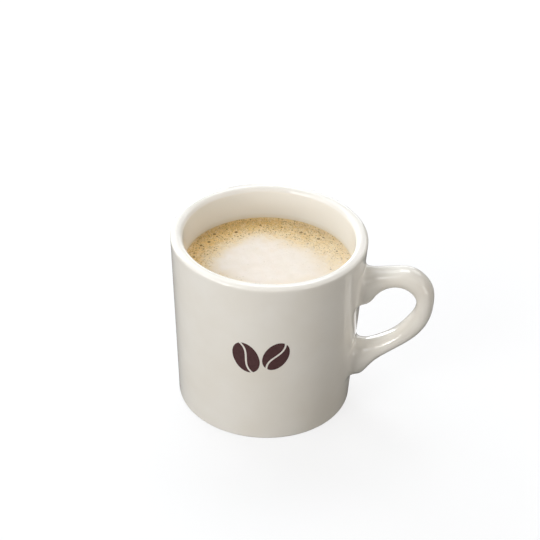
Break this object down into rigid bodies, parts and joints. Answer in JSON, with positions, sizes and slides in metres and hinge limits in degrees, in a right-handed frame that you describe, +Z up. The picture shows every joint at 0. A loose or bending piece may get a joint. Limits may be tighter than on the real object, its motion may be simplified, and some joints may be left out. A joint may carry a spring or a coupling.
{
  "type": "latte",
  "caption": "Milky coffee with a fine foam top in a thick straight-sided glazed mug with an ear-shaped handle.",
  "frame": {"origin": "centre of the mug's foot, on the surface that it stands on", "axes": "+Z up along the mug's axis, +X towards the handle, XZ the handle's plane"},
  "size_m": [0.1088, 0.08, 0.0774],
  "materials": {
    "glaze": "glossy warm white glaze with a small dark printed motif",
    "milk_foam": "fine milk foam, cream in the middle and golden tan round the edge"
  },
  "bodies": {
    "root": {"mug": "glaze", "latte": "milk_foam"}
  },
  "joints": []
}
